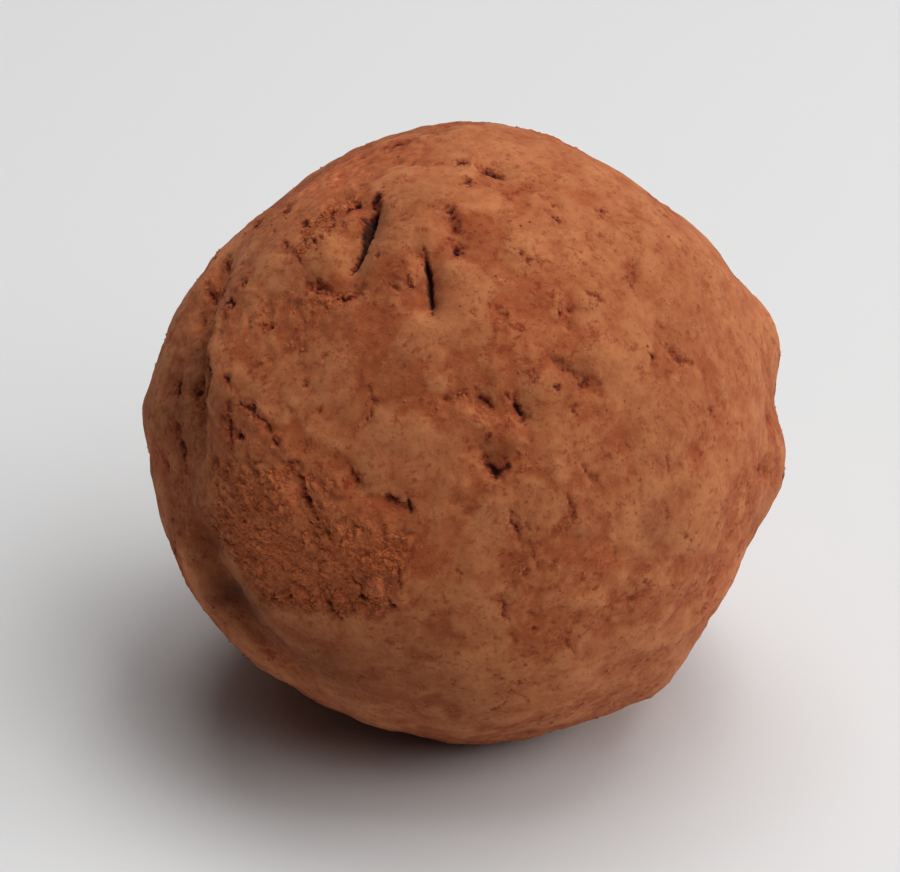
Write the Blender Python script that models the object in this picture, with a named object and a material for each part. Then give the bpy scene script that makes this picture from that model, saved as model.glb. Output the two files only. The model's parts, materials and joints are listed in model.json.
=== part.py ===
"""A chocolate truffle, rolled by hand and dusted with cocoa.

It is one solid: a ball with the lumps, flats, folds and pits that rolling leaves,
settled onto a small flat base. The show side is the one it is served with:
it looks forward, along -Y, and part of the way up.
Run it with: blender --background --python part.py
"""

import math

import bmesh
import bpy
from mathutils import Matrix, Vector, geometry, noise

# Driving dimensions, in metres. The ball's are those before its lumps are raised.
WIDTH = 0.0291
DEPTH = 0.0284
HEIGHT = 0.0290
BASE_CUT = 0.0009  # height of ball that the flat base takes away
RIM_MERGE = 0.0003  # corners of the base's rim nearer than this become one
CUT_TOLERANCE = 0.000001  # corners this near the cut count as on it
SHOW_SIDE_RISE = math.radians(30)
MEAN_RADIUS = (WIDTH + DEPTH + HEIGHT) / 6

# The skin is a cube's faces, each cut into this many squares a side and blown up round.
# Where a fold is narrow, the edges are then halved this many times at most.
SQUARES_A_SIDE = 24
HALVINGS = 2
FOLD_REACH = 2  # half widths from a fold's middle to where its edges need no halving
CREASE_ANGLE = math.radians(40)  # faces that meet more sharply than this are shaded apart

# Lumps, and hollows and flats where the height is below zero: the place as degrees across
# and degrees up from the middle of the show side, then reach in degrees and height in metres.
OUTLINE_LUMPS = (
    ((82, 27), 8, 0.00085),  # right shoulder
    ((86, 7), 5, -0.00020),  # notch under the shoulder
    ((85, -8), 8, 0.00065),  # right cheek
    ((52, -68), 6, 0.00062),  # heel, low on the right
    ((62, -59), 4, -0.00030),  # notch over the heel
    ((-86, 8), 8, 0.00045),  # left cheek
    ((-76, -38), 14, 0.00020),  # low left
    ((8, 86), 15, 0.00030),  # crown
    ((47, 70), 14, -0.00055),  # flat, upper right
    ((-56, 66), 18, -0.00045),  # flat, upper left
    ((-34, -80), 22, -0.00030),  # flat, low left
    ((77, -37), 15, -0.00045),  # waist above the heel
    ((22, -84), 8, -0.00020),  # notch beside the heel
)
SHOW_SIDE_LUMPS = (
    ((-25, 35), 8, 0.00040),  # pressed lobe, upper left
    ((-12, 38), 5, 0.00030),  # ridge between the two clefts
    ((-13, 50), 6, 0.00015),  # knob over the ridge
    ((-46, 14), 9, 0.00045),  # brow over the left valley
    ((-39, 32), 8, 0.00025),  # knob above the brow
    ((-27, 14), 12, -0.00025),  # shallow dent under the lobe
    ((-59, -35), 5, 0.00030),  # bead, low left
    ((-17, -28), 5, 0.00015),  # clod, low middle
    ((17, 4), 9, 0.00015),  # swelling beside the pits
    ((14, -15), 12, 0.00015),  # swelling under the pits
)
BACK_LUMPS = (
    ((130, 30), 16, 0.00045),
    ((-140, 40), 18, 0.00040),
    ((170, 10), 14, -0.00040),
    ((-120, -40), 15, 0.00035),
    ((110, -60), 14, -0.00030),
    ((150, -30), 13, 0.00035),
    ((-160, -20), 12, 0.00030),
    ((60, 125), 15, 0.00040),
    ((-50, 130), 13, -0.00035),
)

# Folds, as a path of (degrees across, degrees up), half width in metres, depth in metres.
FOLDS = (
    (((-18, 43), (-19, 37), (-22, 28)), 0.00042, 0.00090),  # cleft beside the lobe
    (((-9, 34), (-7, 27), (-7, 21)), 0.00030, 0.00070),  # second cleft
    (((-29, 28), (-25, 26), (-20, 27)), 0.00045, 0.00045),  # crease under the lobe
    (((-4, 42), (-2, 37), (-2, 33)), 0.00035, 0.00040),  # short crease right of the clefts
    (((-61, 26), (-63, 8), (-63, -9)), 0.00140, 0.00070),  # left valley
    (((-57, -22), (-53, -34), (-51, -45)), 0.00090, 0.00055),  # groove inside the bead
    (((61, -17), (57, -29), (46, -43), (33, -57)), 0.00110, 0.00035),  # groove inside the right rim
    (((69, -4), (68, -8), (73, -10)), 0.00050, 0.00030),  # crease on the right cheek
    (((9, 6), (10, 2)), 0.00035, 0.00065),  # main pit
    (((2, 6), (5, 4)), 0.00035, 0.00040),  # pit beside it
    (((2, -3), (4, -7), (6, -4)), 0.00035, 0.00055),  # forked pit
    (((15, 12), (18, 11), (22, 8)), 0.00040, 0.00035),  # crease right of the pits
    (((3, 56), (7, 53)), 0.00045, 0.00035),  # pit under the crown
    (((-20, -8), (-15, -11), (-11, -12)), 0.00035, 0.00040),  # broken edge, low middle
    (((-31, -7), (-30, -12), (-27, -18)), 0.00045, 0.00030),  # low left crack
    (((150, 10), (140, -5), (138, -20)), 0.00060, 0.00070),  # folds round the back
    (((-120, 15), (-128, 30), (-140, 38)), 0.00050, 0.00070),
    (((-150, -35), (-135, -45), (-120, -50)), 0.00060, 0.00050),
    (((95, 70), (85, 85), (70, 95)), 0.00050, 0.00050),
)

# How far a fold's sides wander, and over what length, in metres.
WANDER = 0.0003
WANDER_WAVELENGTH = 0.0014

# Gentle unevenness all over: wavelength and height in metres.
UNEVENNESS = ((0.0090, 0.00026), (0.0036, 0.00015))

COCOA_BROWN = (0.300, 0.115, 0.050, 1.0)


def toward(across, up):
    """The direction that lies these degrees across and up from the middle of the show side."""
    spread = math.radians(math.hypot(across, up))
    bearing = math.atan2(up, across)
    level = Vector(
        (
            math.sin(spread) * math.cos(bearing),
            -math.cos(spread),
            math.sin(spread) * math.sin(bearing),
        )
    )
    return Matrix.Rotation(-SHOW_SIDE_RISE, 3, "X") @ level


def lump_height(direction, lumps):
    """How far the lumps raise the skin in this direction."""
    height = 0.0
    for (across, up), reach, top in lumps:
        away = direction.angle(toward(across, up)) / math.radians(reach)
        height += top * math.exp(-away * away)
    return height


def folds_near(direction):
    """Each fold's distance from this direction's place on the skin, in half widths, and its sizes.

    The place wanders a little, so the folds have ragged sides.
    """
    place = direction * MEAN_RADIUS
    place += WANDER * noise.noise_vector(place / WANDER_WAVELENGTH)
    for path, half_width, depth in FOLDS:
        bends = [toward(across, up) * MEAN_RADIUS for across, up in path]
        nearest = min(
            distance_to_stretch(place, start, end) for start, end in zip(bends, bends[1:])
        )
        yield nearest / half_width, half_width, depth


def fold_depth(direction):
    """How far the folds sink the skin in this direction. The deepest one counts."""
    return max(depth * math.exp(-away * away) for away, _, depth in folds_near(direction))


def distance_to_stretch(place, start, end):
    """Distance from a place to the straight stretch between two points."""
    foot, share = geometry.intersect_point_line(place, start, end)
    foot = start.lerp(end, min(1.0, max(0.0, share)))
    return (place - foot).length


def unevenness(direction):
    """The gentle rise and fall of hand-rolled paste."""
    place = direction * MEAN_RADIUS
    return sum(height * noise.noise(place / wavelength) for wavelength, height in UNEVENNESS)


def blow_up_round(mesh):
    """Turns the cut cube into a unit ball whose squares are nearly even in size."""
    for vertex in mesh.verts:
        even = [math.tan(side * math.pi / 4) for side in vertex.co]
        vertex.co = Vector(even).normalized()


def crosses_narrow_fold(edge):
    """Whether an edge of the unit ball lies by a fold that is too narrow for it."""
    middle = (edge.verts[0].co + edge.verts[1].co).normalized()
    length = edge.calc_length() * MEAN_RADIUS
    return any(away < FOLD_REACH and half_width < length for away, half_width, _ in folds_near(middle))


def refine_narrow_folds(mesh):
    """Halves the edges along narrow folds, so that the folds stay crisp."""
    for _ in range(HALVINGS):
        bmesh.ops.triangulate(mesh, faces=mesh.faces[:])
        coarse = [edge for edge in mesh.edges if crosses_narrow_fold(edge)]
        bmesh.ops.subdivide_edges(mesh, edges=coarse, cuts=1)
        for vertex in mesh.verts:
            vertex.co.normalize()


def raise_lumps_and_sink_folds(mesh):
    """Gives the ball its real size, lumps and folds."""
    half_size = Vector((WIDTH, DEPTH, HEIGHT)) / 2
    lumps = OUTLINE_LUMPS + SHOW_SIDE_LUMPS + BACK_LUMPS
    for vertex in mesh.verts:
        direction = vertex.co.copy()
        rise = lump_height(direction, lumps) + unevenness(direction) - fold_depth(direction)
        vertex.co = direction * half_size + direction * rise


def settle_on_base(mesh):
    """Cuts the small flat that the truffle rests on, and closes it."""
    height = -HEIGHT / 2 + BASE_CUT
    cut = bmesh.ops.bisect_plane(
        mesh,
        geom=mesh.verts[:] + mesh.edges[:] + mesh.faces[:],
        dist=CUT_TOLERANCE,
        plane_co=(0, 0, height),
        plane_no=(0, 0, -1),
        clear_outer=True,
    )
    corners = [piece for piece in cut["geom_cut"] if isinstance(piece, bmesh.types.BMVert)]
    bmesh.ops.remove_doubles(mesh, verts=corners, dist=RIM_MERGE)
    rim = [edge for edge in mesh.edges if edge.is_boundary]
    bmesh.ops.edgeloop_fill(mesh, edges=rim)


def stand_on_origin(mesh):
    """Puts the middle of the truffle's outline over the origin, with its base at height 0."""
    places = [vertex.co for vertex in mesh.verts]
    low = Vector([min(place[axis] for place in places) for axis in range(3)])
    high = Vector([max(place[axis] for place in places) for axis in range(3)])
    shift = Vector((-(low.x + high.x) / 2, -(low.y + high.y) / 2, -low.z))
    bmesh.ops.translate(mesh, verts=mesh.verts[:], vec=shift)


def cocoa_material():
    """Matt brown cocoa powder."""
    material = bpy.data.materials.new("cocoa_dusting")
    material.diffuse_color = COCOA_BROWN
    material.use_nodes = True
    shader = material.node_tree.nodes["Principled BSDF"]
    shader.inputs["Base Color"].default_value = COCOA_BROWN
    shader.inputs["Roughness"].default_value = 0.95
    shader.inputs["Metallic"].default_value = 0.0
    return material


def make_truffle(collection):
    """Models the truffle as one closed solid."""
    bpy.ops.mesh.primitive_cube_add(size=2)
    truffle = bpy.context.object
    truffle.name = truffle.data.name = "truffle"

    mesh = bmesh.new()
    mesh.from_mesh(truffle.data)
    bmesh.ops.subdivide_edges(mesh, edges=mesh.edges[:], cuts=SQUARES_A_SIDE - 1, use_grid_fill=True)
    blow_up_round(mesh)
    refine_narrow_folds(mesh)
    raise_lumps_and_sink_folds(mesh)
    settle_on_base(mesh)
    stand_on_origin(mesh)
    bmesh.ops.triangulate(mesh, faces=mesh.faces[:])
    bmesh.ops.recalc_face_normals(mesh, faces=mesh.faces[:])
    mesh.to_mesh(truffle.data)
    mesh.free()

    truffle.data.shade_smooth()
    truffle.data.set_sharp_from_angle(angle=CREASE_ANGLE)
    truffle.data.materials.append(cocoa_material())
    for home in list(truffle.users_collection):
        home.objects.unlink(truffle)
    collection.objects.link(truffle)
    return truffle


def main():
    for thing in list(bpy.data.objects):
        bpy.data.objects.remove(thing)
    collection = bpy.data.collections.new("chocolate_truffle")
    bpy.context.scene.collection.children.link(collection)
    make_truffle(collection)


main()
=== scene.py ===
"""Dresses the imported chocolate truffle: its cocoa-dusted skin, the grains that cling to it, and a stage.

The file is laid out as an add-on and is run as a script, once the frame is packed.
"""

import json
import math
import random

import bmesh
import bpy
import numpy as np
from mathutils import Matrix, Vector, noise
from mathutils.bvhtree import BVHTree

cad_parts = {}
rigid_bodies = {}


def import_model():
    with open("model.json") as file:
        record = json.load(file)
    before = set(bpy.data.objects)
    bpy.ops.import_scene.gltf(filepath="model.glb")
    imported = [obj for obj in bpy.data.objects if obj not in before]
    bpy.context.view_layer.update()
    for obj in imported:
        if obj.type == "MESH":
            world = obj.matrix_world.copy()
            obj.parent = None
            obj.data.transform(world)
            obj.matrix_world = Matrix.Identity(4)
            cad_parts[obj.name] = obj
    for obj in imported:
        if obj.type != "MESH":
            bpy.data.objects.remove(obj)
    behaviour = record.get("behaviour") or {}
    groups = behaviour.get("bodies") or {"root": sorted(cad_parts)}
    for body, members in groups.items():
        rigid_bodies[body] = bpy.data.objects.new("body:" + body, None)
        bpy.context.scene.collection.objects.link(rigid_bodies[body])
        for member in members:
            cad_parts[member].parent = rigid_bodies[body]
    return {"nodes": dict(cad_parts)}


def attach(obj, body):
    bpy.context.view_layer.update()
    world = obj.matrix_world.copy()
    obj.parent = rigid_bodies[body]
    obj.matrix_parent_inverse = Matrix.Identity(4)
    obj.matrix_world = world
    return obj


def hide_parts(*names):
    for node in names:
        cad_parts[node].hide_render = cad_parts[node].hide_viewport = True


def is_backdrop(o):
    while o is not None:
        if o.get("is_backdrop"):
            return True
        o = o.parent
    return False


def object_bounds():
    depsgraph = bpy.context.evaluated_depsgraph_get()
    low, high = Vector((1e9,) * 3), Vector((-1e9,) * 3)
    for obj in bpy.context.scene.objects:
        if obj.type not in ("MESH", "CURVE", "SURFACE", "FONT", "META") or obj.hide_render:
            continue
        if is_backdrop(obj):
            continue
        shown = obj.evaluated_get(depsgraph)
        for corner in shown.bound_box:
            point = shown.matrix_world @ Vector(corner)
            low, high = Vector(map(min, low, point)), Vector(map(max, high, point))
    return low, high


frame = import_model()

bl_info = {
    "name": "Cocoa-dusted truffle",
    "version": (1, 0, 0),
    "blender": (4, 5, 0),
    "location": "3D View > Sidebar > Truffle",
    "description": "Dresses a packed truffle with a cocoa-dusted skin, loose grains and a stage",
    "category": "Add Mesh",
}

MM = 0.001
NODE = "truffle"
BODY = "root"
SOLID_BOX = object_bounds()

# The ball's middle, from which directions are measured. The lumps move the box's middle off it.
HEART = Vector((0.07, -0.12, 13.6)) * MM
MEAN_RADIUS = 14.4 * MM

# The show side looks forward, along -Y, and this far up.
SHOW_SIDE_RISE = math.radians(30)
ACROSS = Vector((1, 0, 0))
UPWARD = Vector((0, math.sin(SHOW_SIDE_RISE), math.cos(SHOW_SIDE_RISE)))
OUTWARD = Vector((0, -math.cos(SHOW_SIDE_RISE), math.sin(SHOW_SIDE_RISE)))

# Cracks: a path of (degrees across, degrees up) from the middle of the show side, then the half
# widths at its first and last bend and its depth, in millimetres.
CRACKS = (
    # Clefts and creases at the upper left.
    (((-17.5, 44.5), (-18.5, 42), (-19, 39), (-19.5, 36), (-20.5, 33), (-22.5, 30.5)), (0.26, 0.08), 0.62),
    (((-8, 34.5), (-7.6, 31.5), (-6.8, 28), (-6.5, 24.5), (-6.3, 21.5)), (0.09, 0.11), 0.48),
    (((-6.2, 20.5), (-5.5, 17), (-4.5, 14)), (0.06, 0.04), 0.12),
    (((-17.3, 47.5), (-18, 44.5)), (0.17, 0.20), 0.42),
    (((-21.8, 46.8), (-22, 44.2)), (0.16, 0.18), 0.42),
    (((-20.4, 41.3), (-19.6, 43)), (0.15, 0.16), 0.38),
    (((-23.2, 45), (-23, 42.8)), (0.16, 0.16), 0.38),
    (((-17, 33.7), (-16, 32.3)), (0.16, 0.12), 0.20),
    (((-30.5, 29.5), (-29.5, 26.5)), (0.14, 0.16), 0.30),
    (((-28, 29), (-27.5, 27.5), (-26, 26)), (0.14, 0.22), 0.34),
    (((-26, 26), (-22.5, 25.5), (-19, 26)), (0.20, 0.14), 0.22),
    (((-31, 38), (-32, 34), (-31, 31)), (0.11, 0.11), 0.24),
    (((-27, 45), (-26.2, 42)), (0.18, 0.14), 0.34),
    (((-26, 40.5), (-26, 38)), (0.12, 0.12), 0.28),
    (((-29.5, 37.5), (-28.5, 35)), (0.14, 0.12), 0.28),
    (((-23.5, 41), (-23.5, 38.5)), (0.11, 0.10), 0.26),
    (((-34, 44), (-32, 41)), (0.18, 0.14), 0.30),
    (((-37, 39), (-35, 36)), (0.16, 0.14), 0.26),
    (((-40, 54), (-39.5, 48)), (0.24, 0.18), 0.24),
    (((-41, 44), (-41.5, 41.5)), (0.16, 0.14), 0.18),
    (((-12.5, 40), (-11, 39.7)), (0.13, 0.13), 0.18),
    (((-8, 38.7), (-8, 36.8)), (0.14, 0.12), 0.14),
    (((-5.7, 42.7), (-3.6, 43), (-2, 40.5), (-1.8, 38.8)), (0.18, 0.14), 0.36),
    (((-3.6, 37.2), (-3, 35.4)), (0.12, 0.12), 0.28),
    (((-1.9, 36.6), (-1.6, 33.8), (-2, 31.6)), (0.16, 0.10), 0.40),
    (((-10.5, 29), (-10.5, 26.5)), (0.12, 0.10), 0.28),
    (((-14, 28), (-12, 26)), (0.10, 0.10), 0.20),
    # Left side: the shadowed valley behind the brow, and the cracks that run down from it.
    (((-54, 33), (-51, 28)), (0.26, 0.20), 0.38),
    (((-48, 27.5), (-46, 24.5)), (0.18, 0.16), 0.36),
    (((-45, 31), (-43, 28)), (0.14, 0.12), 0.22),
    (((-48.5, 51), (-51, 48.5)), (0.26, 0.22), 0.34),
    (((-57, 42), (-55, 38)), (0.22, 0.18), 0.32),
    (((-62, 36), (-60, 31)), (0.26, 0.20), 0.30),
    (((-53, 24), (-52, 18), (-51, 14), (-50.5, 10)), (0.26, 0.22), 0.36),
    (((-67, 13.5), (-68.5, 8.5)), (0.30, 0.26), 0.40),
    (((-63, 10.5), (-60.5, 8.5)), (0.24, 0.22), 0.38),
    (((-69, 4), (-68, 0), (-66.5, -4), (-65.5, -9)), (0.22, 0.16), 0.32),
    (((-52.5, 10), (-51.5, 7)), (0.20, 0.20), 0.38),
    (((-45.5, 11.5), (-44.6, 10), (-44, 8)), (0.15, 0.16), 0.37),
    (((-43.5, 6.5), (-41, 5.5), (-39, 3.5), (-37, 1)), (0.15, 0.14), 0.36),
    (((-45, 6.5), (-45.5, 3.5), (-45, 0), (-45.5, -4)), (0.14, 0.17), 0.34),
    (((-43.5, 1), (-43, -1.5)), (0.16, 0.16), 0.36),
    (((-35.5, -0.5), (-34.5, -3)), (0.14, 0.12), 0.32),
    (((-39.5, 21.5), (-36.5, 20)), (0.10, 0.10), 0.26),
    (((-34, 18), (-33, 16)), (0.10, 0.08), 0.14),
    (((-47, 18), (-45, 16)), (0.08, 0.08), 0.10),
    (((-33, 5), (-32, 4)), (0.12, 0.12), 0.14),
    (((-30, 10), (-29, 9)), (0.15, 0.15), 0.26),
    (((-27.5, 5), (-26.5, 4)), (0.14, 0.14), 0.26),
    (((-17.5, 8), (-16.5, 5.5), (-17.5, 3), (-18.5, 1)), (0.13, 0.07), 0.26),
    (((-60, 53), (-50, 56), (-38, 55)), (0.26, 0.18), 0.18),
    (((-64, 46), (-62, 43)), (0.24, 0.18), 0.22),
    (((-19.5, 65.5), (-16, 66), (-12, 67)), (0.34, 0.26), 0.34),
    # The broken edge over the crusted patch, and the gaps along its foot.
    (((-33.5, -5), (-32.5, -5.5), (-31, -5)), (0.12, 0.12), 0.28),
    (((-31, -6.5), (-30.4, -8.5)), (0.15, 0.16), 0.32),
    (((-30, -9.5), (-29.6, -11.5), (-28.2, -13.5)), (0.20, 0.17), 0.34),
    (((-28.5, -15), (-27, -15.5)), (0.10, 0.10), 0.22),
    (((-26, -17), (-24.5, -20)), (0.07, 0.06), 0.14),
    (((-24.5, -8), (-23, -10.5)), (0.10, 0.08), 0.16),
    (((-20.7, -5.5), (-19.8, -7.5), (-18.8, -9)), (0.20, 0.13), 0.34),
    (((-15, -11), (-13.5, -11.6), (-11, -12)), (0.15, 0.13), 0.32),
    (((-10.8, -11.3), (-10, -14)), (0.18, 0.15), 0.36),
    (((-39.5, -31.5), (-39, -33.5)), (0.10, 0.15), 0.24),
    (((-36, -30), (-34.8, -32), (-35.6, -34)), (0.18, 0.10), 0.31),
    (((-30.5, -32), (-31, -34)), (0.11, 0.10), 0.24),
    (((-27.5, -31), (-26.3, -34), (-23, -35.5)), (0.20, 0.12), 0.33),
    (((-22.3, -31), (-21.5, -33)), (0.10, 0.14), 0.28),
    (((-19.8, -27.5), (-19.5, -30.5), (-17, -31.5)), (0.12, 0.12), 0.33),
    (((-14.5, -29.5), (-14, -31.5), (-12.5, -32.5)), (0.10, 0.13), 0.31),
    (((-13, -22), (-12.5, -26), (-12, -29)), (0.10, 0.12), 0.20),
    # Pits and creases in the middle.
    (((0.8, 7), (2.4, 6.6), (3.6, 5.6), (4.6, 4.2)), (0.06, 0.10), 0.34),
    (((-0.5, 8.5), (0, 6.5), (1.5, 4), (2.5, 3)), (0.07, 0.08), 0.14),
    (((6.5, 7.5), (7.5, 5.5)), (0.08, 0.08), 0.22),
    (((8, 7.2), (8.4, 5.5), (9.3, 4), (10, 1.8)), (0.10, 0.16), 0.39),
    (((2, -3), (3.3, -5), (5.1, -7.4), (6.2, -6), (6.9, -3.6)), (0.18, 0.17), 0.40),
    (((3, 0), (4.6, -0.8)), (0.08, 0.09), 0.18),
    (((3.5, 0.5), (4.5, -0.5)), (0.10, 0.08), 0.16),
    (((11, 12), (11, 10), (12.5, 9)), (0.12, 0.10), 0.22),
    (((14, 13.5), (16, 13), (18, 11), (20, 9.5)), (0.10, 0.12), 0.22),
    (((19.8, 9.6), (21.3, 8.3)), (0.15, 0.13), 0.30),
    (((14.5, 8.2), (16.5, 7.7)), (0.18, 0.18), 0.20),
    (((18.5, 5.5), (18.5, 3)), (0.10, 0.13), 0.24),
    (((7, 22), (6.5, 19.5), (8, 18.5), (9.5, 19.5)), (0.10, 0.10), 0.16),
    (((16.5, 23), (17, 21), (18, 18.5)), (0.14, 0.12), 0.18),
    (((0.5, 22), (0.5, 20)), (0.12, 0.10), 0.20),
    # Top and right.
    (((8, 34), (11, 31.5), (15, 31.5)), (0.09, 0.14), 0.20),
    (((14, 44), (17, 41), (19, 39.5)), (0.12, 0.14), 0.22),
    (((8, 42.5), (6, 42)), (0.12, 0.10), 0.18),
    (((2, 56), (5, 54.5), (7.5, 52.5)), (0.20, 0.24), 0.40),
    (((-2, 57), (0, 55)), (0.20, 0.16), 0.34),
    (((-1, 51), (1, 49)), (0.20, 0.16), 0.32),
    (((-5, 57), (-7, 55)), (0.16, 0.14), 0.18),
    (((26, 45), (28, 43.5)), (0.26, 0.20), 0.24),
    (((32, 33), (31, 30), (31, 27)), (0.22, 0.18), 0.20),
    (((21, 26), (25, 24)), (0.14, 0.16), 0.22),
    (((18, 35), (22, 31), (25, 27)), (0.10, 0.10), 0.10),
    (((33.5, 15), (35, 14)), (0.16, 0.14), 0.28),
    (((37.5, 17), (39.5, 15.5), (41, 14), (45, 13.5)), (0.15, 0.15), 0.26),
    (((69, -4), (68, -8), (73, -10)), (0.18, 0.16), 0.24),
    # Low middle and low right.
    (((17.5, -10.5), (18.3, -14), (19, -16)), (0.16, 0.10), 0.24),
    (((19, -3.5), (21, -7), (25, -10)), (0.09, 0.07), 0.14),
    (((7.5, -13), (8, -15.5), (9, -18.5)), (0.14, 0.14), 0.28),
    (((9, -24.5), (11, -24), (10, -26.5)), (0.10, 0.10), 0.18),
    (((12.5, -23), (13, -25)), (0.09, 0.09), 0.16),
    (((15, -22), (16, -24)), (0.08, 0.08), 0.14),
    (((3, -29.5), (6, -31), (7, -33), (7.5, -35.5)), (0.08, 0.12), 0.22),
    (((17, -38), (20, -41.5), (23, -46)), (0.11, 0.12), 0.16),
    (((42, -19), (45, -22)), (0.16, 0.14), 0.14),
    (((33, -28), (37, -30)), (0.12, 0.12), 0.12),
    (((4, -46.5), (6, -48.5), (7.5, -49.5)), (0.16, 0.14), 0.18),
    (((9, -50), (16, -51)), (0.12, 0.10), 0.12),
)

# Broad grooves, and ridges where the depth is below zero: path, half width and depth.
GROOVES = (
    (((-57, 36), (-59, 29), (-58, 20), (-57, 10), (-58, 0)), 1.10, 0.62),  # valley behind the brow
    (((-70, 12), (-70, 0)), 0.80, 0.16),
    (((-62, -20), (-57, -32), (-51, -42), (-44, -49)), 1.60, 0.12),  # groove inside the low left bead
    (((67, -16), (60, -26), (53, -41), (43, -50), (36, -60)), 1.10, -0.16),  # rolled edge, low right
    (((-24, 41), (-25, 34)), 1.20, -0.12),  # pressed lobe
    (((11.2, 7.5), (11.2, 4)), 0.22, -0.09),  # lip of the main pit
    (((-18, 21), (-30, 16)), 1.60, 0.10),
)

# Ledges: a path, then the height and reach of its high side, which lies to the left along the path.
LEDGES = (
    (((-54, 30), (-51.5, 24), (-50, 18), (-49, 12), (-49, 7)), 0.46, 1.5),  # the brow's edge
    (((-29, 28), (-26, 25.5), (-22, 25.5), (-19, 28)), 0.14, 1.2),  # under the lobe
    (((-38, -2), (-34, -5), (-30, -8), (-28, -15)), 0.12, 1.0),  # over the crusted patch
    (((-22, -5), (-17, -10), (-11, -12), (-9, -16)), 0.12, 1.0),
    (((-25, 11), (-18, 12), (-14, 8)), 0.05, 0.8),
)

# Clods that stand on the skin, with their radius in millimetres.
CLODS = (
    ((-37.5, -32), 0.26),
    ((-33.2, -31.2), 0.42),
    ((-28.5, -33), 0.26),
    ((-29.5, -30.5), 0.22),
    ((-24.6, -31), 0.26),
    ((-20.5, -33.5), 0.32),
    ((-17, -28.5), 0.52),
    ((-12, -30), 0.30),
    ((-42, -27), 0.34),
    ((-27, -26), 0.20),
    ((-14.5, -24), 0.22),
    ((-33, -8), 0.20),
    ((-25, -9), 0.24),
)

# Plates where the cocoa is pressed smooth and pale: middle, and reach in degrees.
PLATES = (
    ((-13, 51), 5),
    ((-12, 38), 4),
    ((-25, 34), 5),
    ((-38, 32), 5),
    ((-46, 14), 5),
    ((-36, 6), 4),
    ((-25, 5), 6),
    ((-16, -4), 5),
    ((-5, 16), 3),
    ((-5, 9), 3),
    ((0, 27), 5),
    ((23, 30), 3),
    ((13, 7), 3),
    ((13, -15), 4),
    ((-7, -11), 4),
    ((-17, -29), 2),
    ((5, -39), 5),
    ((32, -43), 6),
    ((42, -14), 6),
    ((52, -7), 6),
    ((-3, -4), 4),
    ((18, -3), 4),
    ((33, 24), 4),
    ((34, 2), 6),
    ((15, 38), 7),
    ((4, 44), 4),
    ((31, 53), 8),
    ((56, 42), 8),
    ((-34, -44), 6),
    ((-19, -46), 11),
    ((15, 62), 9),
    ((42, 42), 12),
    ((60, 20), 10),
)

# Patches where it stays loose and grainy, in the same way.
GRAINY_PATCHES = (
    ((-28, -15), 9),
    ((-38, -24), 9),
    ((-22, -22), 9),
    ((-19, 20), 7),
    ((-31, 20), 5),
    ((-42, 25), 4),
    ((-36, 40), 6),
    ((10, -24), 5),
    ((22, -20), 6),
    ((-24, 57), 7),
    ((10, 14), 4),
    ((-22, 43), 4),
    ((4, 3), 4),
    ((38, 15), 4),
    ((-12, -20), 5),
    ((16, -38), 6),
    ((-61, 6), 9),
    ((-65, -15), 9),
    ((-60, 30), 7),
)

# Where the skin is crusted with standing crumbs: middle, reach and how thickly.
CRUSTED_PATCHES = (
    ((-41, -18), 8, 1.0),
    ((-31, -21), 10, 1.0),
    ((-21, -25), 7, 1.0),
    ((-32, -11), 6, 1.0),
    ((-46, -24), 5, 1.0),
    ((-54, -19), 4, 0.9),
    ((-40, -29), 5, 0.9),
    ((-34, -31), 4, 0.9),
    ((-27, -32), 5, 0.9),
    ((-18, -29), 5, 0.8),
    ((-48, -8), 5, 0.8),
    ((-45, 2), 5, 0.7),
    ((-51, 31), 6, 0.7),
    ((-58, 24), 6, 0.8),
    ((-60, 8), 6, 0.8),
    ((-28, 42), 8, 0.75),
    ((-33, 34), 5, 0.55),
    ((-25, 26), 5, 0.6),
    ((-12, 27), 5, 0.5),
    ((-38, 21), 6, 0.6),
    ((-28, 16), 6, 0.45),
    ((-14, -20), 6, 0.6),
    ((-22, 58), 6, 0.5),
)

# Where the skin is painted paler, or darker below zero, than elsewhere: middle, reach and by how much. This
# is partly dusting that differs and partly painted light and shade: painted shade darkens the low left, the
# valley behind the brow and the right side, and painted highlights pale the bead on the low left and other
# spots.
DUSTING_AND_PAINTED_LIGHT = (
    ((-45, 17), 6, 0.22),
    ((-58, 19), 7, -0.50),
    ((-68, 4), 8, -0.16),
    ((-51, 2), 5, 0.16),
    ((-30, -6), 9, 0.38),
    ((-18, -6), 6, 0.10),
    ((-18, -18), 10, 0.25),
    ((-6, -19), 8, 0.12),
    ((-39, 3), 8, 0.22),
    ((-40, -22), 8, 0.34),
    ((-28, -30), 7, 0.18),
    ((-57, -22), 6, -0.34),
    ((-57, -36), 5, -0.36),
    ((-52, -36), 4, -0.20),
    ((-46, -35), 4, -0.22),
    ((-78, -7), 6, 0.25),
    ((63, -36), 7, 0.22),
    ((3, 43), 4, 0.16),
    ((-50, -42), 9, -0.48),
    ((-66, -32), 3, 0.55),
    ((-30, -50), 11, -0.40),
    ((-12, -39), 8, -0.10),
    ((-6, -56), 13, -0.22),
    ((-20, 18), 5, 0.12),
    ((-30, 58), 10, 0.48),
    ((-62, 36), 8, 0.52),
    ((-12, 40), 8, -0.10),
    ((-5, 46), 5, -0.10),
    ((-4, 26), 12, -0.06),
    ((10, -5), 4, 0.10),
    ((19, 10), 4, -0.24),
    ((27, -21), 6, 0.14),
    ((36, -18), 6, -0.20),
    ((19, -28), 7, 0.10),
    ((34, -4), 14, -0.10),
    ((40, 26), 24, -0.16),
)


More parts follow.
